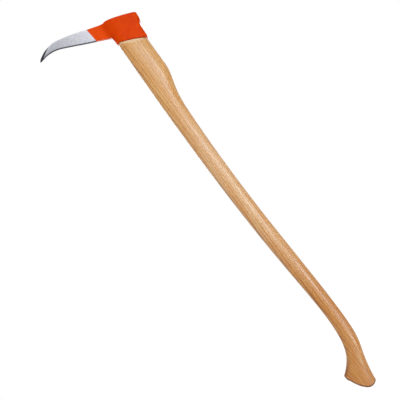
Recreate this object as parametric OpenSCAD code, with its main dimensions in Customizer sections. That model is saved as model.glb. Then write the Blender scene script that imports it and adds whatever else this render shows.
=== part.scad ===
// Pickaroon: a forged steel hook wedged on a long curved axe-style handle.
// +Z runs up the straight upper shaft to the head, the hook points along -X,
// and the tool is symmetric about the plane y = 0.
// The origin is the middle of the lower grip, on the handle's centre line.

/* [Handle] */
// Length along Z from the lowest point of the sole to the top of the tongue
handle_length = 914; // [760:1:1000]
// Height of the grip's middle above the lowest point of the sole
grip_height = 176; // [165:1:200]
// Distance that the upper shaft's centre line lies in front of the grip's middle
bow = 24; // [12:0.5:36]
// Front-to-back width of the wood just under the head
neck_w = 57; // [54:0.5:59]
// Front-to-back width of the shaft below the swell
shaft_w = 41.5; // [36:0.5:48]
// Front-to-back width at the lower grip, where the handle is slimmest
grip_w = 31.5; // [26:0.5:38]
// Thickness of the wood under the head
neck_t = 29; // [26:0.5:33]
// Thickness of the upper shaft
shaft_t = 26; // [22:0.5:30]
// Thickness at the lower grip
grip_t = 24; // [20:0.5:28]
// Length of the full-width swell below the head's front lug
swell_l = 81; // [60:1:120]
// Length over which the swell's back edge runs out into the shaft
swell_out = 101; // [70:1:140]

/* [Foot] */
// Distance of the toe's point in front of the grip's middle
toe_reach = 55; // [46:0.5:66]
// Height of the toe's point above the lowest point of the sole
toe_h = 44.5; // [36:0.5:54]
// Length of the sole along X, from the toe's point to the heel
foot_l = 50; // [44:0.5:58]
// Height of the heel's corner above the lowest point of the sole
heel_h = 8.5; // [6:0.5:12]
// Thickness of the foot
foot_t = 30; // [26:0.5:36]
// Width of the bevel round the sole
sole_bevel = 3.5; // [1.5:0.25:5]

/* [Eye] */
// Outer length of the eye, front to back, along its lower half
eye_l = 59.5; // [57:0.5:64]
// Outer thickness of the eye over its flat cheeks
eye_t = 34; // [32:0.5:40]
// Height of the eye at its front, from the lower rim's line to the crown's front corner
eye_h = 49.75; // [45:0.25:58]
// Tilt of the lower rim, lower at the back, in degrees
rim_tilt = 23; // [18:0.5:26]
// Tilt of the crown, lower at the back, in degrees
crown_tilt = 18; // [14:0.5:22]
// Rise of the crown's curve over its chord
crown_rise = 1.6; // [0.5:0.1:5]
// Height of the crown's front corner above the top of the tongue
head_proud = 2.75; // [1:0.25:5]
// How far the poll pad stands behind the lower back wall
poll_step = 8; // [4:0.5:12]
// Height of the poll pad's flat back face
poll_h = 15.5; // [12:0.5:22]
// Lean of the poll pad's face, further in at its foot
poll_lean = 1.2; // [0:0.1:2]
// Rounding of the poll's upright corners
poll_r = 7; // [4:0.5:9]
// Drop of the front lug below the lower rim's line
lug_drop = 3.25; // [1:0.25:8]
// Front wall of the eye
wall_front = 4; // [3:0.25:6]
// Back wall of the eye at the lower rim
wall_back = 4; // [3:0.25:6]
// Width of the eye's hole at the lower rim
bore_t = 24; // [20:0.5:25]
// How much the eye's hole widens for each 100 mm of height, so that the wedge holds it
bore_flare = 4; // [1:0.25:6]
// Rounding of the eye's outer edges
edge_r = 1.5; // [0.5:0.1:2]

/* [Beak] */
// Reach of the beak from the eye's front line to the point
beak_reach = 151; // [120:1:180]
// Height of the beak's crest above the eye's front corner
beak_rise = 26.5; // [18:0.5:34]
// Depth of the beak at its root
beak_h = 34; // [28:0.5:38]
// Thickness of the beak at its root
beak_t = 12; // [9:0.5:16]
// Thickness of the beak where the ground point begins
point_t = 10; // [6:0.5:12]

/* [Wedges] */
// Depth of the saw kerf in the tongue
kerf_depth = 38; // [28:0.5:42]
// Thickness of the wooden wedge at its top
wedge_t = 7; // [5:0.5:9]
// Thickness of the wooden wedge at its foot
wedge_foot_t = 1.6; // [1:0.1:3]
// Thickness of a steel wedge at its top
steel_t = 3; // [2:0.25:4]
// Width of a steel wedge
steel_w = 20; // [14:0.5:22]
// Length of a steel wedge
steel_l = 26; // [18:0.5:32]
// Distance between the two steel wedges
steel_gap = 22; // [14:0.5:28]

/* [Fits] */
// Clearance between the wood and the eye
seat_gap = 0.15; // [0.05:0.05:0.4]
// Clearance round the wedges
wedge_gap = 0.08; // [0.04:0.02:0.2]

/* [Hidden] */

// Heights and lines that the pieces share
handle_top = handle_length - grip_height;
sole_z = -grip_height;
front_x = -bow - shaft_w / 2;
rim_slope = tan(rim_tilt);
crown_slope = tan(crown_tilt);
crown_front = [front_x + 3.75, handle_top + head_proud];
rim_front_z = crown_front[1] - eye_h;
eye_back_x = front_x + eye_l;
poll_x = eye_back_x + poll_step;
lug_z = rim_front_z - lug_drop;

function rim_z(x) = rim_front_z - (x - front_x) * rim_slope;

function crown_z(x) =
    let (share = (x - crown_front[0]) / (poll_x - crown_front[0]))
    crown_front[1] - (x - crown_front[0]) * crown_slope + crown_rise * 4 * share * (1 - share);

// Curve helpers
function mix(a, b, t) = a + (b - a) * t;

function ease(t) = let (u = min(max(t, 0), 1)) u * u * (3 - 2 * u);

function bezier(p, t) =
    p[0] * pow(1 - t, 3) + p[1] * 3 * t * pow(1 - t, 2) + p[2] * 3 * t * t * (1 - t) + p[3] * pow(t, 3);

// A smooth curve through the rows of a table, at t from 0 to 1 between row i and row i + 1
function through(rows, i, t) =
    let (
        last = len(rows) - 1,
        a = rows[max(i - 1, 0)],
        b = rows[i],
        c = rows[min(i + 1, last)],
        d = rows[min(i + 2, last)]
    )
    b + (c - a) * t / 2 + (2 * a - 5 * b + 4 * c - d) * t * t / 2 + (3 * b - a - 3 * c + d) * t * t * t / 2;

// A closed skin over rings of equal count, whose ends are covered by strips across the tool
module skin(rings) {
    count = len(rings[0]);
    last = len(rings) - 1;
    sides = [
        for (i = [0 : last - 1], k = [0 : count - 1])
            let (n = (k + 1) % count, low = i * count, high = low + count)
                each [[low + k, high + n, low + n], [low + k, high + k, high + n]]
    ];
    function strip(base, turn) = [
        for (k = [0 : count / 2 - 2])
            let (
                a = base + k,
                b = base + count - 1 - k,
                quad = [[a, b - 1, a + 1], [a, b, b - 1]]
            )
                for (face = quad)
                    turn ? [face[0], face[2], face[1]] : face
    ];
    polyhedron(
        points = [for (ring = rings) each ring],
        faces = concat(sides, strip(0, true), strip(last * count, false)),
        convexity = 8
    );
}

// Sections of wood: a squared oval in a slice from a front point to a back point
wood_sides = 36;

function oval(k, square) =
    let (
        angle = 360 * (k + 0.5) / wood_sides,
        c = cos(angle),
        s = sin(angle),
        power = 2 / square
    )
    [-sign(c) * pow(abs(c), power), sign(s) * pow(abs(s), power)];

// The slice's four control points run from the front edge to the back edge in the plane y = 0
function slice(points, thick, square) = [
    for (k = [0 : wood_sides - 1])
        let (
            o = oval(k, square),
            p = bezier(points, (1 + o[0]) / 2)
        )
        [p[0], thick / 2 * o[1], p[1]]
];

function straight(front, back) = [front, mix(front, back, 1 / 3), mix(front, back, 2 / 3), back];

// The eye's hole is an oval that widens evenly with height; its front wall is upright
bore_square = 2.8;
bore_base = rim_z(eye_back_x);
bore_front = front_x + wall_front;

function bore_back(z) = eye_back_x - wall_back + (z - bore_base) * bore_flare / 100;

function bore_width(z) = bore_t + (z - bore_base) * bore_flare / 100;

// A ring of the hole, drawn in by a gap, on the slanted plane that falls by slope from z0 at front_x
function bore_ring(z0, slope, gap, bulge = 0) =
    let (
        grow = bore_flare / 100,
        mid0 = (bore_front + bore_back(0)) / 2 - front_x,
        half0 = (bore_back(0) - bore_front) / 2 - gap
    )
    [
        for (k = [0 : wood_sides - 1])
            let (
                o = oval(k, bore_square),
                run0 = mid0 + half0 * o[0],
                run1 = grow / 2 * (1 + o[0]),
                lift = bulge * (1 - o[0] * o[0]),
                z = (z0 + lift - slope * run0) / (1 + slope * run1),
                x = front_x + run0 + run1 * z,
                y = (bore_width(z) / 2 - gap) * o[1]
            )
            [x, y, z]
    ];

// Handle: the neck and swell under the eye, the long shaft, the foot and the sole. Each stretch
// runs between a front edge and a back edge, which are curves in the plane y = 0.
neck_back = front_x + neck_w;
shoulder_in = 0.8;
swell_top = lug_z - swell_l;
swell_end = swell_top - swell_out;
shaft_back = -bow + shaft_w / 2;
// The slimmest place lies a little below the grip's middle
grip_z = -10;

swell_edge = [
    [neck_back, swell_top],
    [neck_back + 2.6, mix(swell_top, swell_end, 0.31)],
    [shaft_back + 2, mix(swell_top, swell_end, 0.44)],
    [shaft_back, swell_end]
];
// The straight front edge starts to lean back over the swell's length
front_lean = 0.65;
shaft_front_edge = [
    [front_x + front_lean, swell_end],
    [front_x + 4.6, mix(grip_z, swell_end, 0.365)],
    [-grip_w / 2 - 1.9, mix(grip_z, swell_end, 0.155)],
    [-grip_w / 2, grip_z]
];
shaft_back_edge = [
    [shaft_back, swell_end],
    [shaft_back - 5.7, mix(grip_z, swell_end, 0.572)],
    [grip_w / 2 - 5.4, mix(grip_z, swell_end, 0.287)],
    [grip_w / 2, grip_z]
];
toe = [-toe_reach, sole_z + toe_h];
heel = [toe[0] + foot_l, sole_z + heel_h];
foot_front_edge = [
    [-grip_w / 2, grip_z],
    [-grip_w / 2 + 1.7, mix(grip_z, toe[1], 0.615)],
    [mix(-grip_w / 2, toe[0], 0.22), mix(grip_z, toe[1], 0.8)],
    toe
];
foot_back_edge = [
    [grip_w / 2, grip_z],
    [grip_w / 2 + 3.6, mix(grip_z, heel[1], 0.64)],
    [heel[0] + 10, mix(grip_z, heel[1], 0.46)],
    heel
];
// The sole's curve, from the toe to the heel, in the plane y = 0
sole = [
    toe + [0.3, -6.5],
    [mix(toe[0], heel[0], 0.24), sole_z + 17],
    [mix(toe[0], heel[0], 0.5), sole_z - 10],
    heel + [-0.3, -6.5]
];
sole_inset = [
    sole[0] + sole_bevel * [0.7, -0.9],
    sole[1] + sole_bevel * [0.2, -0.1],
    sole[2] + sole_bevel * [0, 0.1],
    sole[3] + sole_bevel * [-0.9, -0.1]
];

// A slice between two edge points, bent part of the way to the sole's curve
function bent(front, back, bend) =
    let (
        chord = straight(front, back),
        curve = [for (p = [0 : 3]) sole[p] + mix(front - sole[0], back - sole[3], p / 3)]
    )
    mix(chord, curve, bend);

// Squareness of the wood's sections: 2 is an ellipse, more is squarer
neck_square = 2.7;
shaft_square = 2.3;
foot_square = 2.6;
neck_steps = 3;
swell_steps = 10;
shaft_steps = 16;
foot_steps = 14;
sole_bend = 0.6;

shoulder = straight(
    [front_x, rim_z(front_x) - seat_gap],
    [neck_back - shoulder_in, rim_z(neck_back) - seat_gap]
);
neck_end = straight([front_x, swell_top], [neck_back, swell_top]);

tongue_z0 = handle_top + (wall_front + seat_gap) * crown_slope;
tongue_rings = [
    bore_ring(tongue_z0, crown_slope, seat_gap, crown_rise),
    bore_ring(rim_front_z - seat_gap, rim_slope, seat_gap)
];
neck_rings = [
    for (i = [0 : neck_steps])
        slice(mix(shoulder, neck_end, i / neck_steps), neck_t, neck_square)
];
swell_rings = [
    for (i = [1 : swell_steps])
        let (
            t = i / swell_steps,
            back = bezier(swell_edge, t),
            front = [front_x + front_lean * t * t, back[1]]
        )
        slice(straight(front, back), mix(neck_t, shaft_t, ease(t)), mix(neck_square, shaft_square, t))
];
shaft_rings = [
    for (i = [1 : shaft_steps])
        let (t = i / shaft_steps)
        slice(
            straight(bezier(shaft_front_edge, t), bezier(shaft_back_edge, t)),
            mix(shaft_t, grip_t, ease(t)),
            shaft_square
        )
];
// The foot's slices turn with its two edges, and bend towards the sole's curve at the end
foot_rings = [
    for (i = [1 : foot_steps])
        let (
            t = i / foot_steps,
            front = bezier(foot_front_edge, t),
            back = bezier(foot_back_edge, t)
        )
        slice(
            bent(front, back, sole_bend * ease((t - 0.7) / 0.3)),
            mix(grip_t, foot_t, ease(t)),
            mix(shaft_square, foot_square, t)
        )
];
sole_rings = [
    slice(mix(bent(toe, heel, sole_bend), sole, 0.6), foot_t, foot_square),
    slice(sole, foot_t - 0.3 * sole_bevel, foot_square),
    slice(sole_inset, foot_t - 2 * sole_bevel, foot_square)
];

// Head: level loops round the eye's back, and from there upright slices to the point, each with a
// top edge and a bottom edge. The beak's rows hold its share of the reach, the height of the top
// edge as a share of the rise, the depth and thickness as shares of the root's, and how much the
// point's facets take.
point_share = point_t / beak_t;
beak_rows = [
    [0.0185, -0.02, 1, 1, 0],
    [0.048, 0.03, 0.955, mix(1, point_share, 0.05), 0],
    [0.128, 0.167, 0.91, mix(1, point_share, 0.17), 0],
    [0.234, 0.34, 0.842, mix(1, point_share, 0.31), 0],
    [0.347, 0.563, 0.803, mix(1, point_share, 0.46), 0],
    [0.453, 0.733, 0.727, mix(1, point_share, 0.61), 0],
    [0.565, 0.88, 0.62, mix(1, point_share, 0.76), 0],
    [0.672, 0.99, 0.505, mix(1, point_share, 0.9), 0],
    [0.745, 1, 0.42, point_share, 0],
    [0.811, 0.94, 0.34, point_share * 0.94, 0.2],
    [0.877, 0.84, 0.276, point_share * 0.74, 0.5],
    [0.944, 0.655, 0.2, point_share * 0.45, 0.75],
    [0.98, 0.515, 0.13, point_share * 0.22, 0.85],
    [1, 0.39, 0.035, point_share * 0.08, 0.9]
];
beak_edge_r = 0.8;
// Where the middle of a rounded edge lies, as a share of its radius
edge_dip = 0.29;
beak_steps = 3;

// Outline of the eye's back: the poll pad, the slope under it and the lower wall
pad_x = poll_x - poll_lean;
pad_z = crown_z(poll_x) - poll_h;
notch_z = pad_z - poll_step * 0.9;

function back_edge(z) =
    z > pad_z
        ? mix(pad_x, poll_x, (z - pad_z) / poll_h)
        : mix(eye_back_x, pad_x, max(0, (z - notch_z) / (pad_z - notch_z)));

function corner(d, r) = d >= r ? 0 : r - sqrt(r * r - pow(r - max(d, 0), 2));

// Half thickness of the head at a point of its side. In front of the eye the cheeks draw in:
// above the beak's underside they flow into the beak, and below it they close in a round nose.
flare_back = front_x + eye_t / 2;
flare_end = front_x - 14;
nose_half = 5;
nose_blend = 16;
nose_share = 0.56;
under_z = crown_front[1] + beak_rise * beak_rows[0][1] - beak_h;
lug_run = 5.5;
lug_fall = 3.5;
root_x = front_x - beak_rows[0][0] * beak_reach;

function beak_half(x) =
    let (
        share = (front_x - x) / beak_reach,
        i = max([0, for (k = [0 : len(beak_rows) - 2]) if (beak_rows[k][0] <= share) k]),
        a = beak_rows[i],
        b = beak_rows[i + 1]
    )
    beak_t / 2 * (share <= a[0] ? a[3] : mix(a[3], b[3], (share - a[0]) / (b[0] - a[0])));

// The front wall under the beak: shares of its height, and how far it stands before the eye's line
front_wall = [
    [0, 0],
    [0.045, 0.5],
    [0.11, 1.2],
    [0.2, 1.7],
    [0.43, 1.9],
    [0.66, 2.1],
    [0.88, 2.4],
    [1, front_x - root_x]
];

function head_half(x, z) =
    x > flare_back
        ? eye_t / 2
        : let (
              flare = mix(beak_half(x), eye_t / 2, ease((x - flare_end) / (flare_back - flare_end))),
              front = front_x - lookup((z - lug_z) / (under_z - lug_z), front_wall),
              run = min(1, (flare_back - x) / (flare_back - front)),
              nose = nose_half + (eye_t / 2 - nose_half) * sqrt(1 - run * run)
          )
          mix(nose, flare, ease((z - under_z) / nose_blend + nose_share));

// Rows along the head's sides, under the top edge. They keep their heights at the eye's back and
// then run to other heights at its front. Where the underside rises past a row, the row goes on
// along the underside.
beak_shares = [0.2, 0.4, 0.6, 0.8, 0.93];
back_levels = concat(
    [for (s = [1.55, 1.16, 0.86, 0.5, 0.16, -0.16]) mix(notch_z, pad_z, s)],
    [for (s = [0.65, 0.38]) mix(rim_z(eye_back_x), notch_z, s)]
);
front_levels = concat(
    [for (s = beak_shares) mix(crown_front[1], under_z, s)],
    [for (s = [0.15, 0.4, 0.7]) mix(under_z, lug_z, s)]
);
// The loops round the eye's back start where its corners do, and a little in front of that
poll_front = eye_back_x - poll_r - 2;
// A row ends where it comes this near to the rounded bottom edge
row_gap = 0.1;
// Each row along the underside lies this much under the one outside it
underside_crown = 0.05;

function levels(x) =
    let (share = max(0, min(1, (poll_front - x) / (poll_front - front_x - lug_run))))
    mix(back_levels, front_levels, share);

// One slice at x, from the top edge to the bottom edge and back up the other side
function head_ring(x, top, bottom, edge, grind = 0) =
    let (
        depth = top - bottom,
        half = min(head_half(x, top), head_half(x, bottom)),
        round_r = min(edge, depth * 0.3, half * 0.4),
        facet_z = mix(round_r, depth * 0.6, grind),
        facet_y = mix(round_r, half, grind),
        dip = mix(edge_dip, 0.5, min(1, grind * 4)),
        shown = x > root_x
            ? [for (z = levels(x)) if (z > bottom + round_r + row_gap) [top - z, 0]]
            : [for (s = beak_shares) [mix(facet_z, depth - round_r, s), 0]],
        tucked = len(back_levels) - len(shown),
        rows = concat(
            [[0, facet_y], [facet_z * dip, facet_y * dip], [facet_z, 0]],
            shown,
            [[depth - round_r, 0], [depth - edge_dip * round_r, edge_dip * round_r], [depth, round_r]],
            [
                for (j = [1 : 1 : tucked])
                    [depth + j * underside_crown, mix(round_r, head_half(x, bottom), j / (tucked + 1))]
            ]
        ),
        side = [for (r = rows) [x, head_half(x, top - r[0]) - r[1], top - r[0]]]
    )
    concat(side, [for (k = [len(side) - 1 : -1 : 0]) [x, -side[k][1], side[k][2]]]);

// One loop round the eye's back, drawn in by inset, from the right side to the left side. Its
// height is a function of x.
corner_steps = 6;
heel_r = 4;

function poll_ring(back, inset, height) =
    let (
        centre = [back - poll_r, eye_t / 2 - poll_r],
        plan = concat(
            [[poll_front, eye_t / 2 - inset]],
            [
                for (k = [0 : corner_steps])
                    let (turn = 90 * k / corner_steps)
                    centre + (poll_r - inset) * [sin(turn), cos(turn)]
            ]
        ),
        side = [for (p = plan) [p[0], p[1], height(p[0])]]
    )
    concat(side, [for (k = [len(side) - 1 : -1 : 0]) [side[k][0], -side[k][1], side[k][2]]]);

function heel_z(x) = rim_z(x) + corner(eye_back_x - x, heel_r);

// A rounded edge's three rows: the distance from the face and the inset, as shares of its radius
edge_rows = [[0, 1], [edge_dip, edge_dip], [1, 0]];

poll_rings = concat(
    [for (e = edge_rows) poll_ring(poll_x, edge_r * e[1], function(x) crown_z(x) - edge_r * e[0])],
    [for (z = back_levels) poll_ring(back_edge(z), 0, function(x) z)],
    [for (e = edge_rows) poll_ring(eye_back_x, edge_r * e[0], function(x) heel_z(x) + edge_r * e[1])]
);

root_top = crown_front[1] + beak_rows[0][1] * beak_rise;

function neck_top(x) = mix(root_top, crown_front[1], (x - root_x) / (crown_front[0] - root_x));

function lug_bottom(x) = rim_z(x) - lug_drop * ease((front_x + lug_run - x) / lug_fall);

cheek_steps = 9;
cheek_front = front_x + lug_run;
cheek_slices = [
    for (i = [0 : cheek_steps])
        let (x = mix(poll_front, cheek_front, i / cheek_steps))
        [x, crown_z(x), rim_z(x)]
];
lug_slices = [
    for (dx = [4.6, 3.75, 2.7, 1.6, 0.6])
        let (x = front_x + dx)
        [x, x > crown_front[0] ? crown_z(x) : neck_top(x), lug_bottom(x)]
];
front_wall_heights = [for (w = front_wall) [w[1], w[0]]];
front_wall_slices = [
    for (dx = [0.15, 0.5, 0.85, 1.2, 1.5, 1.7, 1.8, 1.9, 2, 2.1, 2.25, 2.4])
        let (x = front_x - dx)
        [x, neck_top(x), mix(lug_z, under_z, lookup(dx, front_wall_heights))]
];
eye_slices = concat(cheek_slices, lug_slices, front_wall_slices);

function beak_slice(row) =
    let (top = crown_front[1] + row[1] * beak_rise)
    head_ring(
        front_x - row[0] * beak_reach,
        top,
        top - row[2] * beak_h,
        beak_edge_r,
        row[4]
    );

beak_rings = [
    for (i = [0 : len(beak_rows) - 2])
        for (k = [0 : beak_steps - 1])
            beak_slice(through(beak_rows, i, k / beak_steps))
];
head_rings = concat(
    [for (s = eye_slices) head_ring(s[0], s[1], s[2], edge_r)],
    beak_rings,
    [beak_slice(beak_rows[len(beak_rows) - 1])]
);

bore_over = 12;
bore_rings = [
    bore_ring(crown_front[1] + bore_over, crown_slope, 0),
    bore_ring(rim_front_z - bore_over, rim_slope, 0)
];

// Wedges: the kerf runs the length of the tongue, and the steel wedges lie across it
kerf_z = handle_top - kerf_depth;
wedge_mid_x = (bore_front + bore_back(handle_top)) / 2;
wedge_end_gap = 0.6;
steel_tip_t = 0.8;
steel_proud = 0.3;
over = 20;

function tongue_top(x) =
    let (share = (x - bore_front) / (bore_back(handle_top) - bore_front))
    tongue_z0 - (x - front_x) * crown_slope + crown_rise * 4 * share * (1 - share);

// The wooden wedge's taper, drawn out by a gap, run along X and carried above the tongue
module kerf_taper(gap) {
    grow = (wedge_t - wedge_foot_t) / 2 / kerf_depth;
    low = wedge_foot_t / 2 + gap;
    high = wedge_t / 2 + grow * over + gap;
    translate([front_x - over, 0, 0])
        rotate([90, 0, 90])
            linear_extrude(height = eye_l + 2 * over)
                polygon([
                    [-low, kerf_z - gap],
                    [low, kerf_z - gap],
                    [low, kerf_z],
                    [high, handle_top + over],
                    [-high, handle_top + over],
                    [-low, kerf_z]
                ]);
}

module across(points, width) {
    translate([0, width / 2, 0])
        rotate([90, 0, 0])
            linear_extrude(height = width)
                polygon(points);
}

// A steel wedge's taper, drawn out by a gap on every side, from its foot to a height above the tongue
module steel_wedge(x, gap, above) {
    rise = steel_l + above;
    grow = (steel_t - steel_tip_t) / 2 / steel_l;
    low = steel_tip_t / 2 + gap;
    high = low + grow * rise;
    foot = tongue_top(x) - steel_l;
    across(
        [
            [x - low, foot - gap],
            [x + low, foot - gap],
            [x + low, foot],
            [x + high, foot + rise],
            [x - high, foot + rise],
            [x - low, foot]
        ],
        steel_w + 2 * gap
    );
}

module steel_slots() {
    for (side = [-1, 1])
        steel_wedge(wedge_mid_x + side * steel_gap / 2, wedge_gap, over);
}

module head() {
    color([0.87, 0.27, 0.06])
        difference() {
            union() {
                skin(head_rings);
                skin(poll_rings);
            }
            skin(bore_rings);
        }
}

module handle() {
    rebate_z = lug_z - seat_gap;
    color([0.85, 0.68, 0.47])
        difference() {
            skin(concat(tongue_rings, neck_rings, swell_rings, shaft_rings, foot_rings, sole_rings));
            across(
                [
                    [front_x - over, rebate_z],
                    [front_x + wall_front, rebate_z],
                    [front_x + wall_front, rim_front_z + over],
                    [front_x - over, rim_front_z + over]
                ],
                eye_t + over
            );
            kerf_taper(wedge_gap);
            steel_slots();
        }
}

module wooden_wedge() {
    start = bore_front + wedge_end_gap;
    end = bore_back(kerf_z) - wedge_end_gap;
    steps = 8;
    color([0.62, 0.42, 0.25])
        difference() {
            intersection() {
                kerf_taper(0);
                across(
                    concat(
                        [[start, kerf_z], [end, kerf_z]],
                        [for (i = [0 : steps]) let (x = mix(end, start, i / steps)) [x, tongue_top(x)]]
                    ),
                    eye_t
                );
            }
            steel_slots();
        }
}

module steel_wedge_front() {
    color("silver") steel_wedge(wedge_mid_x - steel_gap / 2, 0, steel_proud);
}

module steel_wedge_rear() {
    color("silver") steel_wedge(wedge_mid_x + steel_gap / 2, 0, steel_proud);
}

head();
handle();
wooden_wedge();
steel_wedge_front();
steel_wedge_rear();
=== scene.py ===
# %% [markdown]
# # A pickaroon, dressed for its photograph
# A pickaroon is a forester's hook: a forged beak on an axe handle, for dragging and turning logs.
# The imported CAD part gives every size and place. This lesson loads it first, and then adds one
# thing in each step: the camera, the floor, the light, and the finish of each piece.

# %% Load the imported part
import math

import bmesh
import bpy
from mathutils import Matrix, Vector


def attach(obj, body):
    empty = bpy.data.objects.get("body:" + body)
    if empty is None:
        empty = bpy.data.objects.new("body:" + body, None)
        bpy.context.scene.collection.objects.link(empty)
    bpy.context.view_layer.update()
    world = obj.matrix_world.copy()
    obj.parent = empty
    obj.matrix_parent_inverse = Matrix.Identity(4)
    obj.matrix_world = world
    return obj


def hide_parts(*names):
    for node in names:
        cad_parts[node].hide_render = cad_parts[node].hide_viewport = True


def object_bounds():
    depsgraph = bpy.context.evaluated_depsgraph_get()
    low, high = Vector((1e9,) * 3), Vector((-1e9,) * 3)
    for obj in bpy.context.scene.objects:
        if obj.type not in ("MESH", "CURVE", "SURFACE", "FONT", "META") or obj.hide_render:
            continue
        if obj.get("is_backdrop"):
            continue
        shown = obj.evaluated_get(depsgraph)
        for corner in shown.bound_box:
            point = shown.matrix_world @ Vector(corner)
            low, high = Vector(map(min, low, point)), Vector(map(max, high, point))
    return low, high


MM = 0.001

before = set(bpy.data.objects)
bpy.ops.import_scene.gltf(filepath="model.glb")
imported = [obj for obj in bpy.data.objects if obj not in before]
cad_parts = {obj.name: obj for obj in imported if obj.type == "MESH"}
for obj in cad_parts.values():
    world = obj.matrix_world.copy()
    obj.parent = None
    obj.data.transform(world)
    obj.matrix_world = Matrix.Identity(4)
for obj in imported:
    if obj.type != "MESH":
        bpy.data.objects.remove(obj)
cad_low, cad_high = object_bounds()
print("CAD box in mm:", [round((high - low) / MM, 1) for low, high in zip(cad_low, cad_high)])

# %% [markdown]
# ## Where the photographer stood
# The tool was photographed from its right side and turned in the picture, so that the handle
# runs from the top left to the bottom right. The tool stands upright in this frame, so it is the
# camera that rolls. A constraint could aim the camera, but it would choose the roll by itself, so
# the camera's own directions are given as a matrix. A lens is easiest to give as pixels per unit
# of slope, which is what can be measured in a picture, and Blender's millimetres follow from that.

# %% Set up the camera
CAMERA_PLACE = Vector((-0.0897, -1.4, 0.3329))
CAMERA_ROLL = math.radians(35)
PICTURE_WIDTH = 400
PIXELS_PER_SLOPE = 684.6
SENSOR_MM = 36

camera_data = bpy.data.cameras.new("photo_camera")
camera_data.sensor_width = SENSOR_MM
camera_data.lens = SENSOR_MM * PIXELS_PER_SLOPE / PICTURE_WIDTH
camera = bpy.data.objects.new("photo_camera", camera_data)
camera_right = Vector((math.cos(CAMERA_ROLL), 0, -math.sin(CAMERA_ROLL)))
camera_up = Vector((math.sin(CAMERA_ROLL), 0, math.cos(CAMERA_ROLL)))
camera_turn = Matrix((camera_right, camera_up, camera_right.cross(camera_up))).transposed()
camera.matrix_world = Matrix.Translation(CAMERA_PLACE) @ camera_turn.to_4x4()
bpy.context.collection.objects.link(camera)
bpy.context.scene.camera = camera
bpy.context.scene.view_settings.view_transform = "Standard"
print("Lens in mm:", round(camera_data.lens, 2))

# %% [markdown]
# ## A node in one line
# Every finish below is a graph of nodes. Blender's own calls for that are wordy, so a few helpers
# keep each graph to one line a node. A plain value sets a socket, and another node's socket is
# linked to it.

# %% Helpers for nodes
def add_node(tree, kind, inputs=None, **settings):
    node = tree.nodes.new(kind)
    for name, value in settings.items():
        setattr(node, name, value)
    for name, value in (inputs or {}).items():
        if isinstance(value, bpy.types.NodeSocket):
            tree.links.new(value, node.inputs[name])
        else:
            node.inputs[name].default_value = value
    return node


def math_node(tree, operation, first, second=None, third=None):
    values = {i: v for i, v in enumerate((first, second, third)) if v is not None}
    return add_node(tree, "ShaderNodeMath", values, operation=operation).outputs[0]


def new_material(name):
    material = bpy.data.materials.new(name)
    material.use_nodes = True
    return material, material.node_tree, material.node_tree.nodes["Principled BSDF"]


# %% [markdown]
# ## Smooth steps
# Hardly any finish on a real tool starts at a hard line. So a measure, such as a height or a
# noise, is turned into a share that changes smoothly between two values. Map Range does that
# with a Smooth Step.

# %% Helper for shares
def fade(tree, value, low, high, at_low=0.0, at_high=1.0):
    """A smooth step: at_low up to the value low, at_high from the value high on."""
    inputs = {
        "Value": value, "From Min": low, "From Max": high, "To Min": at_low, "To Max": at_high}
    step = add_node(tree, "ShaderNodeMapRange", inputs, interpolation_type="SMOOTHSTEP")
    return step.outputs["Result"]


# %% [markdown]
# ## Colours
# Colours are written as they are read in a picture, from 0 to 255. Sockets take linear light, so
# they are converted first. Two colours are then mixed by a share, or a stain is laid over a
# colour by multiplying it, as a thin dark film does on wood.

# %% Helpers for colours
def linear(red, green, blue):
    """A colour as it is read in a picture, from 0 to 255, as the linear values of a socket."""
    shares = [value / 255 for value in (red, green, blue)]
    light = [s / 12.92 if s <= 0.04045 else ((s + 0.055) / 1.055) ** 2.4 for s in shares]
    return (*light, 1)


def mix_colour(tree, share, first, second, blend="MIX"):
    mix = add_node(tree, "ShaderNodeMix", data_type="RGBA", blend_type=blend)
    for name, value in (("Factor_Float", share), ("A_Color", first), ("B_Color", second)):
        socket = next(s for s in mix.inputs if s.identifier == name)
        if isinstance(value, bpy.types.NodeSocket):
            tree.links.new(value, socket)
        else:
            socket.default_value = value
    return next(s for s in mix.outputs if s.identifier == "Result_Color")


def stained(tree, colour, share, stain):
    """The colour with a stain laid over it, as strongly as the share says."""
    return mix_colour(tree, share, colour, stain, "MULTIPLY")


WHITE = (1, 1, 1, 1)
print("A middle grey of 128 is as linear light:", round(linear(128, 128, 128)[0], 3))

# %% [markdown]
# ## A floor that stays out of the picture
# The photograph has a clean white ground. The floor could be a curved backdrop, but that has only
# one good side, and the tool is looked at from all sides. So it is one large disc under the sole,
# far enough down for the tool's shadow to fall mostly below the frame.

# %% Floor mesh
FLOOR_DROP = 0.12
FLOOR_RADIUS = 40
FLOOR_CORNERS = 96

floor_height = cad_low[2] - FLOOR_DROP
bm = bmesh.new()
bmesh.ops.create_circle(bm, cap_ends=True, segments=FLOOR_CORNERS, radius=FLOOR_RADIUS)
bmesh.ops.translate(bm, verts=bm.verts, vec=(0, 0, floor_height))
floor_mesh = bpy.data.meshes.new("studio_floor")
bm.to_mesh(floor_mesh)
bm.free()
floor = bpy.data.objects.new("studio_floor", floor_mesh)
bpy.context.collection.objects.link(floor)
floor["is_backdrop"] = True
print("Floor height in m:", round(floor_height, 4))

# %% [markdown]
# ## The floor's white
# More light would turn the floor white, but it would bleach the tool too. So what the camera sees
# of the floor is partly glow and partly the lit floor, and the shadow still shows. Further out it
# is glow alone, and no horizon shows against the white world.

# %% Floor material
FLOOR_PAPER = (0.8, 0.8, 0.8, 1)
GLOW_SHARE = 0.5
GLOW_STRENGTH = 1.38
GLOW_ALONE = (0.35, 1.6)

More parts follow.
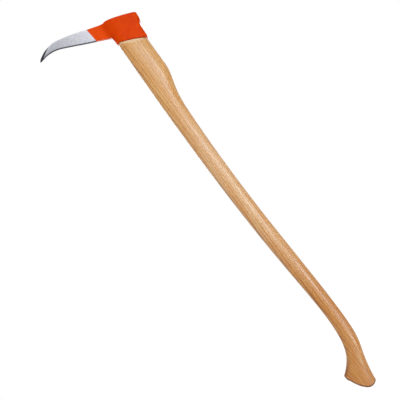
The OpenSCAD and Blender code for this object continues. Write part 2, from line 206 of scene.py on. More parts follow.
material, tree, shader = new_material("studio_floor")
shader.inputs["Base Color"].default_value = FLOOR_PAPER
shader.inputs["Roughness"].default_value = 0.9
shader.inputs["Specular IOR Level"].default_value = 0.1
place = add_node(tree, "ShaderNodeTexCoord").outputs["Object"]
flat = add_node(tree, "ShaderNodeVectorMath", {0: place, 1: (1, 1, 0)}, operation="MULTIPLY")
away = add_node(
    tree, "ShaderNodeVectorMath", {0: flat.outputs[0]}, operation="LENGTH").outputs["Value"]
strength = fade(tree, away, *GLOW_ALONE, GLOW_STRENGTH, 1.0)
glow = add_node(tree, "ShaderNodeEmission", {"Color": WHITE, "Strength": strength})
path = add_node(tree, "ShaderNodeLightPath")
seen = math_node(tree, "MAXIMUM", path.outputs["Is Camera Ray"], path.outputs["Is Glossy Ray"])
share = math_node(tree, "MULTIPLY", seen, fade(tree, away, *GLOW_ALONE, GLOW_SHARE, 1.0))
paper_or_glow = add_node(
    tree, "ShaderNodeMixShader", {0: share, 1: shader.outputs[0], 2: glow.outputs[0]})
tree.links.new(paper_or_glow.outputs[0], tree.nodes["Material Output"].inputs["Surface"])
floor_mesh.materials.append(material)
print("The floor is glow alone from", GLOW_ALONE[1], "m out")

# %% [markdown]
# ## A white tent for the even light
# A white tent gives most of the light. Lamps all round could do the same, but a world lights from
# everywhere at once and is quicker. It is brighter on the camera's side than behind the tool, and
# dimmer on the left than on the right, so that both edges of the handle fall into shade, and its
# front edge more than the other. The camera and the reflections see the tent as plain white, and
# its light on the object is set apart from that.

# %% World
TENT_FRONT = 0.76
TENT_BACK = 0.22
DIM_SIDE = (-0.35, 0.93, 0)

world = bpy.data.worlds.new("light_tent")
bpy.context.scene.world = world
world.use_nodes = True
tree = world.node_tree
way = add_node(tree, "ShaderNodeTexCoord").outputs["Generated"]
toward_dim = add_node(
    tree, "ShaderNodeVectorMath", {0: way, 1: DIM_SIDE}, operation="DOT_PRODUCT").outputs["Value"]
strength = fade(tree, toward_dim, -1, 1, TENT_FRONT, TENT_BACK)
tent_light = add_node(tree, "ShaderNodeBackground", {"Color": WHITE, "Strength": strength})
tent_seen = add_node(tree, "ShaderNodeBackground", {"Color": WHITE, "Strength": 1.0})
path = add_node(tree, "ShaderNodeLightPath")
seen = path.outputs["Is Camera Ray"]
for ray in ("Is Glossy Ray", "Is Transmission Ray"):
    seen = math_node(tree, "MAXIMUM", seen, path.outputs[ray])
tent = add_node(
    tree, "ShaderNodeMixShader", {0: seen, 1: tent_light.outputs[0], 2: tent_seen.outputs[0]})
tree.links.new(tent.outputs[0], tree.nodes["World Output"].inputs["Surface"])
print("Tent light from", TENT_BACK, "behind to", TENT_FRONT, "in front")

# %% [markdown]
# ## Soft boxes
# A soft box is an area lamp. It is turned towards a point that it aims at, and may lean to one
# side. The camera sees none of the lamps, not even from the side.

# %% Helper for soft boxes
def soft_box(name, place, aim, width, height, power, lean=0.0):
    data = bpy.data.lights.new(name, "AREA")
    data.shape = "RECTANGLE"
    data.size = width
    data.size_y = height
    data.energy = power
    lamp = bpy.data.objects.new(name, data)
    back = (Vector(place) - Vector(aim)).normalized()
    side = Vector((-lean, 0, 1)).cross(back).normalized()
    turn = Matrix((side, back.cross(side), back)).transposed()
    lamp.matrix_world = Matrix.Translation(place) @ turn.to_4x4()
    lamp.visible_camera = False
    bpy.context.collection.objects.link(lamp)
    print(name, "gives", power, "W from", round((Vector(place) - Vector(aim)).length, 2), "m")
    return lamp


# %% [markdown]
# ## The light that shapes the wood
# A tall, slim soft box to the right of the camera gives the wood its roundness, and its
# reflection is the pale streak down the varnish. It stands close, so that the streak reaches the
# foot, and it leans, as the streak does. A strip in the same place cools the streak, as sky
# through a window would: it makes reflections alone, and is too short to be reflected in the
# head, so the orange stays clean. Two more boxes light the top and the far side.

# %% Lamps
STREAK_LEAN = 0.12
KEY_COLOUR = (0.83, 0.96, 1.0)
SKY_COLOUR = (0.35, 0.68, 1.0)

key = soft_box(
    "key_soft_box", place=(0.1, -0.315, 0.33), aim=(-0.01, 0, 0.33),
    width=0.12, height=1.24, power=1.05, lean=STREAK_LEAN)
key.data.color = KEY_COLOUR
sky = soft_box(
    "sky_strip", place=(0.111, -0.315, 0.235), aim=(0, 0, 0.235),
    width=0.12, height=1.05, power=1.85, lean=STREAK_LEAN)
sky.data.color = SKY_COLOUR
sky.visible_diffuse = False
soft_box(
    "top_soft_box", place=(-0.3, -1.3, 1.9), aim=(0, 0, 0.5), width=1.2, height=0.8, power=4)
soft_box(
    "back_soft_box", place=(-0.1, 1.6, 0.9), aim=(0, 0, 0.3), width=1.2, height=1.2, power=18)

# %% [markdown]
# ## From CAD solids to cages of quads
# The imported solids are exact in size, but their round faces are flat facets. A copy is welded,
# and its triangles are joined back to quads. That gives a cage, which a Subdivision Surface
# rounds off evenly. Modelling the head and the handle anew could only lose some of the CAD's
# exactness.

# %% Helper for cages
WELD_GAP = 1e-6
QUAD_TURN = math.radians(12)
QUAD_SKEW = math.radians(70)


def cage_of(node):
    bm = bmesh.new()
    bm.from_mesh(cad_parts[node].data)
    bmesh.ops.remove_doubles(bm, verts=bm.verts, dist=WELD_GAP)
    bmesh.ops.join_triangles(
        bm, faces=bm.faces, angle_face_threshold=QUAD_TURN, angle_shape_threshold=QUAD_SKEW)
    quads = sum(len(face.verts) == 4 for face in bm.faces)
    print(node, "has", len(bm.faces), "cage faces, quads among them:", quads)
    return bm


# %% [markdown]
# ## Filing the sole's rim
# A maker takes the sharp rim of the handle's sole off with a file. A Bevel modifier would take
# every sharp edge of the handle, so the bevel operator is given the rim's edges alone: the ones
# that turn sharply and lie below a given height. One segment leaves a flat chamfer, as a file
# does. The operator narrows it where the faces beside it are small, to about 2 mm.

# %% Helper for the rim
SOLE_RIM_TOP = -140 * MM
RIM_TURN = math.radians(50)
RIM_WIDTH = 3 * MM


def file_rim(bm, rim_top):
    rim = [
        edge for edge in bm.edges
        if edge.calc_face_angle(0) > RIM_TURN and max(v.co.z for v in edge.verts) < rim_top]
    bmesh.ops.bevel(
        bm, geom=rim, offset=RIM_WIDTH, offset_type="OFFSET", affect="EDGES", segments=1,
        profile=0.5, material=-1, clamp_overlap=True)
    print("Edges of the rim that are filed:", len(rim))


# %% [markdown]
# ## Corners that stay
# A Subdivision Surface rounds whatever it is given, also the rims and corners. More loops of
# edges beside a corner would hold it, but a crease does so with no new faces. An edge that turns
# further than a given angle gets one, so that it stays where the CAD put it. A crease below 1
# leaves it a little soft, as sanded wood is.

# %% Helpers for rounding a cage
ROUNDING_LEVELS = 2


def crease_corners(bm, sharp_turn, crispness):
    crease = bm.edges.layers.float.new("crease_edge")
    for edge in bm.edges:
        if edge.calc_face_angle(0) > sharp_turn:
            edge[crease] = crispness
            edge.smooth = False


def smooth_piece(bm, name, node):
    for face in bm.faces:
        face.smooth = True
    mesh = bpy.data.meshes.new(name)
    bm.to_mesh(mesh)
    bm.free()
    piece = bpy.data.objects.new(name, mesh)
    bpy.context.collection.objects.link(piece)
    rounding = piece.modifiers.new("rounding", "SUBSURF")
    rounding.levels = rounding.render_levels = ROUNDING_LEVELS
    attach(piece, "root")
    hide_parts(node)
    return piece


# %% [markdown]
# ## The head and the handle
# The head is forged and ground, so its corners are fully crisp. The handle's edges are sanded,
# and its sole is filed first.

# %% Head and handle
HEAD_CORNER = math.radians(50)
HEAD_CRISPNESS = 1.0
HANDLE_CORNER = math.radians(33)
HANDLE_CRISPNESS = 0.6

head_cage = cage_of("head")
crease_corners(head_cage, HEAD_CORNER, HEAD_CRISPNESS)
head = smooth_piece(head_cage, "forged_head", "head")

handle_cage = cage_of("handle")
file_rim(handle_cage, SOLE_RIM_TOP)
crease_corners(handle_cage, HANDLE_CORNER, HANDLE_CRISPNESS)
handle = smooth_piece(handle_cage, "turned_handle", "handle")
print("Cage corners:", {piece.name: len(piece.data.vertices) for piece in (head, handle)})

# %% [markdown]
# ## Reading places on a piece
# All finishes are solid patterns: they are worked out from the place of each point in the tool's
# own frame, as if the pattern filled the whole block. A grain line then runs over an edge and
# comes out as a ring on the end, which no flat picture would give. Some finishes also depend on
# which way the surface faces.

# %% Helpers for places
def place_of(tree):
    """The place in the object, and its x, y and z."""
    place = add_node(tree, "ShaderNodeTexCoord").outputs["Object"]
    split = add_node(tree, "ShaderNodeSeparateXYZ", {0: place})
    return place, split.outputs[0], split.outputs[1], split.outputs[2]


def facing_of(tree):
    """How far the surface faces along x, y and z, from -1 to 1."""
    facing = add_node(tree, "ShaderNodeTexCoord").outputs["Normal"]
    split = add_node(tree, "ShaderNodeSeparateXYZ", {0: facing})
    return split.outputs[0], split.outputs[1], split.outputs[2]


# %% [markdown]
# ## Noise and relief
# Nearly every natural pattern here is noise that has been stretched, which is done by scaling the
# place before the noise reads it. Its values rarely leave the range from 0.3 to 0.7. Relief comes
# from Bump nodes, each on top of the one before.

# %% Helpers for noise and relief
NOISE_SPREAD = (0.3, 0.7)


def noise(tree, place, size, detail=2.0, roughness=0.5, turn=(0, 0, 0)):
    """Noise whose patches are as large as size, in millimetres along x, y and z."""
    scale = tuple(1 / (MM * s) for s in size)
    inputs = {"Vector": place, "Scale": scale, "Rotation": turn}
    mapped = add_node(tree, "ShaderNodeMapping", inputs).outputs[0]
    inputs = {"Vector": mapped, "Scale": 1.0, "Detail": detail, "Roughness": roughness}
    return add_node(tree, "ShaderNodeTexNoise", inputs).outputs[0]


def bump(tree, height, depth_mm, under=None):
    """Turns a height from 0 to 1 into relief of a depth in millimetres, on top of other relief."""
    inputs = {"Height": height, "Distance": depth_mm * MM, "Strength": 1.0}
    if under is not None:
        inputs["Normal"] = under
    return add_node(tree, "ShaderNodeBump", inputs).outputs[0]


# %% [markdown]
# ## The tree that the handle was cut from
# The handle is a pale, ring-porous hardwood such as ash or hickory. A trunk's rings are cylinders
# round its pith, so the distance from a far pith line tells in which ring a point lies. The
# grain leans a little against the shaft, and two slow noises keep it from running dead straight.

# %% Distance from the pith
PITH_X = 135 * MM
PITH_Y = 45 * MM
GRAIN_LEAN = 0.03
SWAY, SWAY_SIZE = 14 * MM, (40, 40, 330)
WAVER, WAVER_SIZE = 1.5 * MM, (9, 9, 60)


def pith_distance(tree, place, x, y, z):
    leaned = math_node(tree, "MULTIPLY_ADD", z, GRAIN_LEAN, x)
    from_pith = [
        math_node(tree, "SUBTRACT", leaned, PITH_X), math_node(tree, "SUBTRACT", y, PITH_Y)]
    squares = [math_node(tree, "MULTIPLY", way, way) for way in from_pith]
    distance = math_node(tree, "SQRT", math_node(tree, "ADD", *squares))
    sway = noise(tree, place, SWAY_SIZE, detail=1.0)
    distance = math_node(tree, "MULTIPLY_ADD", sway, SWAY, distance)
    waver = noise(tree, place, WAVER_SIZE)
    return math_node(tree, "MULTIPLY_ADD", waver, WAVER, distance)


print("The pith lies", round(math.hypot(PITH_X, PITH_Y) / MM), "mm from the shaft's middle")

# %% [markdown]
# ## Year rings
# Each ring starts with a band of early wood with open pores, and fades to dense late wood. A Wave
# texture could draw rings, but its bands are alike on both sides and every year. So the distance
# is counted in rings: the whole part is the year, and what is left over is how far that year has
# grown. White noise gives each year its own strength.

# %% Early wood
RING_WIDTH = 4.7 * MM
SHAFT_SIDE = 41.5 * MM
BAND_STARTS = (0.0, 0.05)
BAND_ENDS = (0.02, 0.34)
WEAKEST_BAND = 0.45


def early_wood(tree, distance):
    """How much a point belongs to the porous wood that a year starts with."""
    rings = math_node(tree, "DIVIDE", distance, RING_WIDTH)
    growth = math_node(tree, "FRACT", rings)
    year = add_node(
        tree, "ShaderNodeTexWhiteNoise", {"W": math_node(tree, "FLOOR", rings)},
        noise_dimensions="1D").outputs["Value"]
    band = math_node(
        tree, "MULTIPLY", fade(tree, growth, *BAND_ENDS, 1, 0), fade(tree, growth, *BAND_STARTS))
    return math_node(tree, "MULTIPLY", band, fade(tree, year, 0, 1, WEAKEST_BAND, 1))


print("Rings across the shaft's side:", round(SHAFT_SIDE / RING_WIDTH))

# %% [markdown]
# ## Colour along the handle
# The wood is brown at the foot and paler further up. Between the first two of four heights it
# fades from brown to a middle tone, and between the last two from that to the palest. Soft clouds
# of darker wood lie over that, and then the bands of early wood.

# %% Ground colour of the wood
CLOUD_SIZE, CLOUD_SPREAD, CLOUD_SHARE = (12, 12, 150), (0.35, 0.7), 0.3
CLOUD_STAIN = (0.88, 0.76, 0.58, 1)
BAND_STAIN_LOW = (0.50, 0.33, 0.19, 1)
BAND_STAIN_HIGH = (0.57, 0.41, 0.25, 1)


def ground_colour(tree, place, z, early, pale, middle, brown, zones):
    """The colour of the wood before any fibre or pore is drawn."""
    low = mix_colour(tree, fade(tree, z, zones[0], zones[1]), brown, middle)
    colour = mix_colour(tree, fade(tree, z, zones[2], zones[3]), low, pale)
    cloud = fade(tree, noise(tree, place, CLOUD_SIZE), *CLOUD_SPREAD, 0, CLOUD_SHARE)
    colour = stained(tree, colour, cloud, CLOUD_STAIN)
    band_stain = mix_colour(
        tree, fade(tree, z, zones[0], zones[1]), BAND_STAIN_LOW, BAND_STAIN_HIGH)
    return stained(tree, colour, early, band_stain)


print("Clouds in the wood are about", CLOUD_SIZE[2], "mm long")

# %% [markdown]
# ## Streaks, fibres and pores
# From near, wood is long brown streaks, fine fibres, and pores, which are short dark dashes that
# lie mostly in the early wood. All of them are noises stretched along the grain, because there
# are far too many to model.

# %% Grain
STREAK_SIZE, STREAK_SPREAD, STREAK_SHARE = (2.4, 2.4, 170), (0.38, 0.62), 0.8
STREAK_STAIN = (0.89, 0.68, 0.43, 1)
FIBRE_SIZE, FIBRE_SPREAD, FIBRE_SHARE = (0.7, 0.7, 22), (0.32, 0.68), 0.85
FIBRE_STAIN = (0.89, 0.71, 0.46, 1)
PORE_SIZE, PORE_SPREAD, PORE_SHARE = (0.32, 0.32, 7), (0.60, 0.70), 0.85
PORE_STAIN = (0.42, 0.27, 0.15, 1)
PORE_BAND, LATE_PORES = (0.0, 0.6), 0.12


def grained(tree, place, colour, early):
    """The colour with its grain, and the fibres and pores by themselves."""
    streak = fade(tree, noise(tree, place, STREAK_SIZE), *STREAK_SPREAD, STREAK_SHARE, 0)
    colour = stained(tree, colour, streak, STREAK_STAIN)
    fibre = noise(tree, place, FIBRE_SIZE, detail=3.0, roughness=0.65)
    colour = stained(tree, colour, fade(tree, fibre, *FIBRE_SPREAD, FIBRE_SHARE, 0), FIBRE_STAIN)
    pores = math_node(
        tree, "MULTIPLY", fade(tree, noise(tree, place, PORE_SIZE, detail=1.0), *PORE_SPREAD),
        fade(tree, early, *PORE_BAND, LATE_PORES, 1.0))
    colour = stained(tree, colour, math_node(tree, "MULTIPLY", pores, PORE_SHARE), PORE_STAIN)
    return colour, fibre, pores


print("Pores are about", PORE_SIZE[0], "mm wide and", PORE_SIZE[2], "mm long")

# %% [markdown]
# ## Wood with all its layers
# The last helper for wood puts the layers together. Where the surface cuts across the grain, as
# on the sole, the wood soaks up more and is darker. Fibres stand out a little from the surface,
# and pores are sunk into it.

# %% Ring-porous wood
END_SPREAD = (0.4, 0.75)
END_STAIN = (0.55, 0.42, 0.31, 1)
FIBRE_DEPTH_MM = 0.012
PORE_DEPTH_MM = 0.03


def ring_wood(tree, shader, pale, middle, brown, zones):
    """Wires the relief of the wood, and returns its colour and what the varnish needs."""
    place, x, y, z = place_of(tree)
    early = early_wood(tree, pith_distance(tree, place, x, y, z))
    colour = ground_colour(tree, place, z, early, pale, middle, brown, zones)
    colour, fibre, pores = grained(tree, place, colour, early)
    endwise = math_node(tree, "ABSOLUTE", facing_of(tree)[2])
    colour = stained(tree, colour, fade(tree, endwise, *END_SPREAD), END_STAIN)
    relief = bump(tree, fibre, FIBRE_DEPTH_MM)
    relief = bump(tree, fade(tree, pores, 0, 1, 1, 0), PORE_DEPTH_MM, relief)
    tree.links.new(relief, shader.inputs["Normal"])
    return colour, place, fibre, pores, endwise


print("End grain darkens where the surface faces up or down by more than", END_SPREAD[0])

# %% [markdown]
# ## The handle's wood
# The three colours were matched to the photograph by comparing small patches: gold
# below the head, a rosier tone in the middle of the shaft, and a warm brown at the foot.

# %% Wood of the handle
WOOD_PALE = linear(227, 179, 115)
WOOD_MIDDLE = linear(233, 192, 147)
WOOD_BROWN = linear(210, 152, 79)
WOOD_ZONES = (-20 * MM, 320 * MM, 420 * MM, 560 * MM)

handle_finish, tree, shader = new_material("varnished_wood")
wood, place, fibre, pores, endwise = ring_wood(
    tree, shader, WOOD_PALE, WOOD_MIDDLE, WOOD_BROWN, WOOD_ZONES)
_, x, y, z = place_of(tree)
print("The wood's colour changes at heights in mm:", [round(zone / MM) for zone in WOOD_ZONES])

# %% [markdown]
# ## A paler band below the head
# The last few millimetres of wood below the head are made paler. The band could be painted by
# hand as a mask, but it simply follows the head's lower rim, which slopes, so it is the distance
# below that line that fades.

# %% Paler band
RIM_FRONT_X = -44.75 * MM
RIM_FRONT_Z = 691.0 * MM
RIM_SLOPE = math.tan(math.radians(23))
PALE_BAND = (1 * MM, 9 * MM)
PALE_SHARE = 0.6
PALE_RIM_WOOD = linear(238, 214, 172)

rim_run = math_node(tree, "SUBTRACT", x, RIM_FRONT_X)
below_rim = math_node(
    tree, "SUBTRACT", RIM_FRONT_Z, math_node(tree, "MULTIPLY_ADD", rim_run, RIM_SLOPE, z))
# The wood is mixed towards a paler colour just below the head's rim.
wood = mix_colour(tree, fade(tree, below_rim, *PALE_BAND, PALE_SHARE, 0), wood, PALE_RIM_WOOD)
print("The paler band ends", round(PALE_BAND[1] / MM), "mm below the head")

# %% [markdown]
# ## Painted shade along the sole
# The sole and its filed rim are painted darker, as the shade that falls along the rim. Pointiness
# could find the rim, but it needs smaller faces than the sole has. From the side the sole is
# nearly a parabola. The height above that curve, divided by how steeply the curve runs there,
# gives the distance from it, and the painted shade ends a few millimetres up.

# %% Painted shade along the sole
SOLE_LOW_X = -17 * MM
SOLE_LOW_Z = -177 * MM
SOLE_CURVE = 0.0275 / MM
SOLE_SHADE_BAND = (2.8 * MM, 5.0 * MM)
SOLE_SHADE_TONE = (0.42, 0.31, 0.23, 1)

run = math_node(tree, "SUBTRACT", x, SOLE_LOW_X)
squared = math_node(tree, "MULTIPLY", run, run)
sole_z = math_node(tree, "MULTIPLY_ADD", squared, SOLE_CURVE, SOLE_LOW_Z)
steepness = math_node(
    tree, "SQRT", math_node(tree, "MULTIPLY_ADD", squared, 4 * SOLE_CURVE ** 2, 1))
above_sole = math_node(tree, "DIVIDE", math_node(tree, "SUBTRACT", z, sole_z), steepness)
# Painted shade: the wood is darkened in a band just above the sole.
wood = stained(tree, wood, fade(tree, above_sole, *SOLE_SHADE_BAND, 1, 0), SOLE_SHADE_TONE)
tree.links.new(wood, shader.inputs["Base Color"])
print("The painted_sole_shade ends", round(SOLE_SHADE_BAND[1] / MM, 1), "mm above the sole")

# %% [markdown]
# ## Varnish
# Clear varnish is a second layer over the wood. A thin shell of glass would be truer but slow, and
# the shader's coat does nearly the same: it has its own gloss and its own fine waves. The varnish
# is thicker on some streaks than on others and has sunk into the end grain, so the weight of the
# coat changes over the surface. That breaks the pale reflection into fine lines. The wood under
# it is duller, most of all in its pores.

# %% Varnish of the handle
WOOD_ROUGHNESS = (0.42, 0.54)
PORE_ROUGHNESS = 0.2
GLEAM_SIZE, GLEAM_SPREAD, GLEAM = (3.0, 3.0, 140), (0.36, 0.64), (0.28, 0.66)
END_GLEAM = 0.25
WAVE_SIZE, WAVE_DEPTH_MM = (2, 2, 80), 0.03

rough = fade(tree, fibre, *NOISE_SPREAD, *WOOD_ROUGHNESS)
rough = math_node(tree, "MULTIPLY_ADD", pores, PORE_ROUGHNESS, rough)
tree.links.new(rough, shader.inputs["Roughness"])
shader.inputs["Specular IOR Level"].default_value = 0.2
gleam = fade(tree, noise(tree, place, GLEAM_SIZE, detail=1.0), *GLEAM_SPREAD, *GLEAM)
gleam = math_node(tree, "MULTIPLY", gleam, fade(tree, endwise, *END_SPREAD, 1, END_GLEAM))
tree.links.new(gleam, shader.inputs["Coat Weight"])
shader.inputs["Coat IOR"].default_value = 1.75
shader.inputs["Coat Roughness"].default_value = 0.31
waves = bump(tree, noise(tree, place, WAVE_SIZE), WAVE_DEPTH_MM)
tree.links.new(waves, shader.inputs["Coat Normal"])
handle.data.materials.append(handle_finish)
print("The handle's finish has", len(tree.nodes), "nodes")

# %% [markdown]
# ## One material for the head
# The head is one forging with three finishes. Its eye and the beak's root are dipped in orange
# paint, the beak's two flat sides are ground bright, and the underside and the facets of the
# point are dark steel, which on the underside is painted shade. Three materials on chosen faces
# could show that, but the paint's edge doesn't run along faces. So one material holds all three,
# and masks tell them apart.

# %% Material of the head
head_finish, tree, shader = new_material("painted_forging")
place, x, y, z = place_of(tree)
print(head.name, "will wear", head_finish.name)

# %% [markdown]
# ## Where the paint ends
# The paint ends at a slanted line across the beak. A little noise makes it as ragged as the edge
# of a dip, and a narrow fade keeps it from being a row of steps.

# %% Paint mask
PAINT_LINE_X = -77.0 * MM
PAINT_LINE_Z = 720.0 * MM
PAINT_LINE_LEAN = 0.1076
PAINT_FEATHER = 0.25 * MM
RAGGED_SIZE, RAGGED_RANGE = (1.5, 1.5, 1.5), (0.6 * MM, -0.3 * MM)

line_x = math_node(
    tree, "MULTIPLY_ADD", math_node(tree, "SUBTRACT", z, PAINT_LINE_Z), -PAINT_LINE_LEAN,
    PAINT_LINE_X)
ragged = math_node(tree, "MULTIPLY_ADD", noise(tree, place, RAGGED_SIZE), *RAGGED_RANGE)
past_line = math_node(tree, "ADD", math_node(tree, "SUBTRACT", x, line_x), ragged)
paint = fade(tree, past_line, -PAINT_FEATHER, PAINT_FEATHER)
bare = math_node(tree, "SUBTRACT", 1.0, paint)
print("The paint's edge leans by", round(math.degrees(math.atan(PAINT_LINE_LEAN)), 1), "degrees")

# %% [markdown]
# ## Orange paint
# The paint varies a little in tone, as a dipped coat does. The beak's root is painted brighter,
# as painted light on its flat side. The edges are painted lighter too, as a painted highlight
# along them. Pointiness tells how far a point stands out, and on the head, with its crisp
# corners, that finds the edges well enough.

# %% Paint
PAINT_TONES = (linear(218, 60, 0), linear(226, 69, 0))
TONE_SIZE = (14, 14, 14)
BEAK_LIGHT_RUN, BEAK_LIGHT_SHARE, BEAK_LIGHT_TONE = (-58 * MM, -46 * MM), 0.75, linear(243, 80, 14)
EDGE_HIGHLIGHT_SPREAD, EDGE_HIGHLIGHT_SHARE, EDGE_HIGHLIGHT_TONE = (0.51, 0.56), 0.6, linear(240, 72, 4)

tone = noise(tree, place, TONE_SIZE, detail=3.0)
orange = mix_colour(tree, fade(tree, tone, *NOISE_SPREAD), *PAINT_TONES)
# Painted light: the beak's root is made a brighter orange, as light on its flat side.
orange = mix_colour(tree, fade(tree, x, *BEAK_LIGHT_RUN, BEAK_LIGHT_SHARE, 0), orange, BEAK_LIGHT_TONE)
# Painted highlight: the orange is made lighter along the head's edges.
edge = fade(tree, add_node(tree, "ShaderNodeNewGeometry").outputs["Pointiness"], *EDGE_HIGHLIGHT_SPREAD)
orange = mix_colour(tree, math_node(tree, "MULTIPLY", edge, EDGE_HIGHLIGHT_SHARE), orange, EDGE_HIGHLIGHT_TONE)
print("The orange as linear light:", [round(value, 3) for value in PAINT_TONES[1][:3]])

# %% [markdown]
# ## Ground steel
# A grinding belt leaves fine scratches across the beak's sides. The shader's anisotropy could
# stretch the reflections instead, but these scratches are wide enough to be seen, so they are
# noise that is stretched and turned. The steel is painted darker towards the point, as painted
# shade where it curves away, and it is mottled from handling.

# %% Ground sides
STEEL_SHADE_RUN, STEEL_SHADE_TONES = (-165 * MM, -80 * MM), (linear(172, 171, 176), linear(200, 195, 197))
TIP_SHADE_RUN, TIP_SHADE_TONE = (-186 * MM, -170 * MM), linear(122, 123, 131)
BRUSH_SIZE, BRUSH_TURN = (0.25, 4, 9), (0, math.radians(20), 0)
BRUSH_SHARE, BRUSH_TONE = 0.5, linear(160, 162, 170)
MOTTLE_SIZE, MOTTLE_SPREAD = (5, 5, 5), (0.35, 0.7)
MOTTLE_SHARE, MOTTLE_TONE = 0.3, linear(156, 157, 167)

# Painted shade: the ground steel darkens towards the point, and more on its last millimetres.
ground = mix_colour(tree, fade(tree, x, *STEEL_SHADE_RUN), *STEEL_SHADE_TONES)
ground = mix_colour(tree, fade(tree, x, *TIP_SHADE_RUN, 1, 0), ground, TIP_SHADE_TONE)
brush = noise(tree, place, BRUSH_SIZE, detail=3.0, roughness=0.7, turn=BRUSH_TURN)
ground = mix_colour(
    tree, fade(tree, brush, *NOISE_SPREAD, BRUSH_SHARE, 0), ground, BRUSH_TONE)
mottle = noise(tree, place, MOTTLE_SIZE, detail=3.0)
ground = mix_colour(tree, fade(tree, mottle, *MOTTLE_SPREAD, 0, MOTTLE_SHARE), ground, MOTTLE_TONE)
print("Grinding scratches are about", BRUSH_SIZE[0], "mm wide")

# %% [markdown]
# ## Painted shade underneath, and the dark point
# The underside is painted dark as shade, and its mask is found by where the surface faces down.
# The facets on the point start at a crest and are bounded by a curved line, which is written as a
# parabola. The last few millimetres are dark all round.

# %% Mask of the painted underside shade and the dark point
DOWN_SPREAD = (-0.55, -0.3)
POINT_CREST_X = -163.5 * MM
POINT_CREST_Z = 765.4 * MM
POINT_LEAN = 0.45
POINT_BEND = 4.5
FACET_FEATHER = (-0.4 * MM, 0.3 * MM)
CREST_FEATHER = (-2.5 * MM, 1.5 * MM)
DARK_TIP = (-186 * MM, -183 * MM)

# Painted shade: the underside is darkened wherever the surface faces down.
painted_underside_shade = fade(tree, facing_of(tree)[2], *DOWN_SPREAD, 1, 0)
from_crest = math_node(tree, "SUBTRACT", x, POINT_CREST_X)
bend = math_node(tree, "MULTIPLY_ADD", from_crest, -POINT_BEND, POINT_LEAN)
facet_z = math_node(tree, "MULTIPLY_ADD", from_crest, bend, POINT_CREST_Z)
point = math_node(
    tree, "MULTIPLY", fade(tree, math_node(tree, "SUBTRACT", z, facet_z), *FACET_FEATHER),
    fade(tree, from_crest, *CREST_FEATHER, 1, 0))
point = math_node(tree, "MAXIMUM", point, fade(tree, x, *DARK_TIP, 1, 0))
underside_shade_and_dark_point = math_node(tree, "MAXIMUM", painted_underside_shade, point)
print("The point's facets are", round((POINT_CREST_X - cad_low[0]) / MM), "mm long")

# %% [markdown]
# ## The dark steel
# The dark steel is spotty noise between two near blacks, and on the underside it is painted shade.
# It is darkest on the point. The mask then chooses between the ground steel and the dark steel.

# %% Dark steel, and all the steel
SPOT_SIZE = (2.2, 2.2, 2.2)
DARK_STEEL_TONES = (linear(46, 46, 51), linear(82, 83, 90))
POINT_SHARE, POINT_TONE = 0.6, linear(52, 52, 56)

dark_steel_spots = noise(tree, place, SPOT_SIZE, detail=4.0, roughness=0.65)
dark_steel = mix_colour(tree, fade(tree, dark_steel_spots, *NOISE_SPREAD), *DARK_STEEL_TONES)
dark_steel = mix_colour(tree, math_node(tree, "MULTIPLY", point, POINT_SHARE), dark_steel, POINT_TONE)
steel = mix_colour(tree, underside_shade_and_dark_point, ground, dark_steel)
print("The skin as linear light:", [round(value, 3) for value in DARK_STEEL_TONES[0][:3]])

# %% [markdown]
# ## Colour, metal and gloss of the head
# The masks now choose between the finishes. Bare steel is metal and paint isn't, and the dark
# steel counts as metal only in part. The dark steel is dull, and the scratches vary the
# gloss of the ground steel.

# %% Join the head's finishes
DARK_STEEL_METAL = 0.35
DARK_STEEL_ROUGHNESS = 0.62
STEEL_ROUGHNESS = (0.34, 0.46)
PAINT_ROUGHNESS = (0.36, 0.46)

tree.links.new(mix_colour(tree, paint, steel, orange), shader.inputs["Base Color"])
metal = math_node(tree, "MULTIPLY", bare, fade(tree, underside_shade_and_dark_point, 0, 1, 1.0, DARK_STEEL_METAL))
tree.links.new(metal, shader.inputs["Metallic"])
steel_rough = math_node(
    tree, "MAXIMUM", fade(tree, brush, *NOISE_SPREAD, *STEEL_ROUGHNESS),
    math_node(tree, "MULTIPLY", underside_shade_and_dark_point, DARK_STEEL_ROUGHNESS))
paint_rough = fade(tree, tone, *NOISE_SPREAD, *PAINT_ROUGHNESS)
rough = add_node(tree, "ShaderNodeMix", {"Factor": paint, "A": steel_rough, "B": paint_rough})
tree.links.new(rough.outputs["Result"], shader.inputs["Roughness"])
shader.inputs["Specular IOR Level"].default_value = 0.04
print("Roughness of the paint:", PAINT_ROUGHNESS)

# %% [markdown]
# ## Relief of the head
# Four reliefs lie on top of each other: the slow waves that the hammer left, the orange peel
# of the paint, the scratches of the grinder, and the step where the paint ends. None is deeper
# than half a millimetre, so bump is enough, and moving the faces would only need more of them.

# %% Relief
HAMMER_SIZE, HAMMER_DEPTH_MM = (16, 16, 16), 0.35
PEEL_SIZE, PEEL_DEPTH_MM = (1.3, 1.3, 1.3), 0.035
SCRATCH_DEPTH_MM = 0.012
PAINT_STEP_MM = 0.12

hammered = bump(tree, noise(tree, place, HAMMER_SIZE, detail=1.0), HAMMER_DEPTH_MM)
orange_peel = math_node(tree, "MULTIPLY", noise(tree, place, PEEL_SIZE, detail=1.0), paint)
peeled = bump(tree, orange_peel, PEEL_DEPTH_MM, hammered)
scratched = bump(tree, math_node(tree, "MULTIPLY", brush, bare), SCRATCH_DEPTH_MM, peeled)
stepped = bump(tree, paint, PAINT_STEP_MM, scratched)
tree.links.new(stepped, shader.inputs["Normal"])
head.data.materials.append(head_finish)
print("The head's finish has", len(tree.nodes), "nodes")

# %% [markdown]
# ## The wooden wedge in the eye
# From above, the tongue's end shows a wooden wedge driven along the eye and two steel wedges
# across it. Their CAD shapes are right, so they stay, and only their slots get new materials.
# The wooden one is plain hardwood without varnish, so it uses the same rings and pores in
# darker colours.

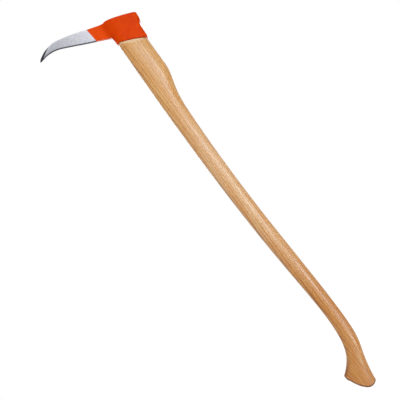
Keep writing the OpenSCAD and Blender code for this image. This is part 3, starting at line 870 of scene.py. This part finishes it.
# %% Wood of the wedge
WEDGE_PALE = linear(196, 150, 98)
WEDGE_BROWN = linear(172, 122, 74)
WEDGE_ZONES = (700 * MM, 720 * MM, 740 * MM, 760 * MM)
WEDGE_ROUGHNESS = (0.6, 0.75)

wedge_wood, tree, shader = new_material("wedge_wood")
wood, _, fibre, _, _ = ring_wood(
    tree, shader, WEDGE_PALE, WEDGE_PALE, WEDGE_BROWN, WEDGE_ZONES)
tree.links.new(wood, shader.inputs["Base Color"])
rough = fade(tree, fibre, *NOISE_SPREAD, *WEDGE_ROUGHNESS)
tree.links.new(rough, shader.inputs["Roughness"])
print("The wedge's wood has", len(tree.nodes), "nodes")

# %% [markdown]
# ## The steel wedges
# These are cut from drawn strip. It has fine lines along its length, and a few dark spots where
# it has begun to rust.

# %% Steel of the wedges
DRAWN_SIZE, DRAWN_DEPTH_MM = (0.3, 0.3, 6), 0.03
DRAWN_TONES = (linear(150, 151, 156), linear(196, 197, 202))
RUST_SIZE, RUST_SPREAD = (1.8, 1.8, 1.8), (0.45, 0.7)
RUST_SHARE, RUST_TONE = 0.7, linear(96, 88, 82)
STRIP_ROUGHNESS, DULL_SPREAD = (0.32, 0.55), (0.4, 0.7)

wedge_steel, tree, shader = new_material("wedge_steel")
place, x, y, z = place_of(tree)
drawn = noise(tree, place, DRAWN_SIZE, detail=3.0, roughness=0.7)
strip = mix_colour(tree, fade(tree, drawn, *NOISE_SPREAD), *DRAWN_TONES)
rust = noise(tree, place, RUST_SIZE, detail=3.0)
strip = mix_colour(tree, fade(tree, rust, *RUST_SPREAD, 0, RUST_SHARE), strip, RUST_TONE)
tree.links.new(strip, shader.inputs["Base Color"])
shader.inputs["Metallic"].default_value = 1.0
rough = fade(tree, rust, *DULL_SPREAD, *STRIP_ROUGHNESS)
tree.links.new(rough, shader.inputs["Roughness"])
tree.links.new(bump(tree, drawn, DRAWN_DEPTH_MM), shader.inputs["Normal"])
print("The wedges' steel has", len(tree.nodes), "nodes")

# %% [markdown]
# ## New finishes on the CAD wedges
# A CAD object is never moved or reshaped here. Its material slots are free to change, and that is
# all that these three need.

# %% Dress the wedges
WEDGE_FINISHES = {
    "wooden_wedge": wedge_wood,
    "steel_wedge_front": wedge_steel,
    "steel_wedge_rear": wedge_steel,
}
for node, finish in WEDGE_FINISHES.items():
    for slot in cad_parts[node].material_slots:
        slot.material = finish
    print(node, "has slots:", len(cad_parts[node].material_slots))

# %% [markdown]
# ## Last look at the sizes
# The finishes mustn't change the tool's size, so the box of the dressed part is printed, as the
# box of the CAD part was at the start.

# %% Print the dressed part's size
visual_low, visual_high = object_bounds()
box = [round((high - low) / MM, 1) for low, high in zip(visual_low, visual_high)]
print("Visual box in mm:", box)
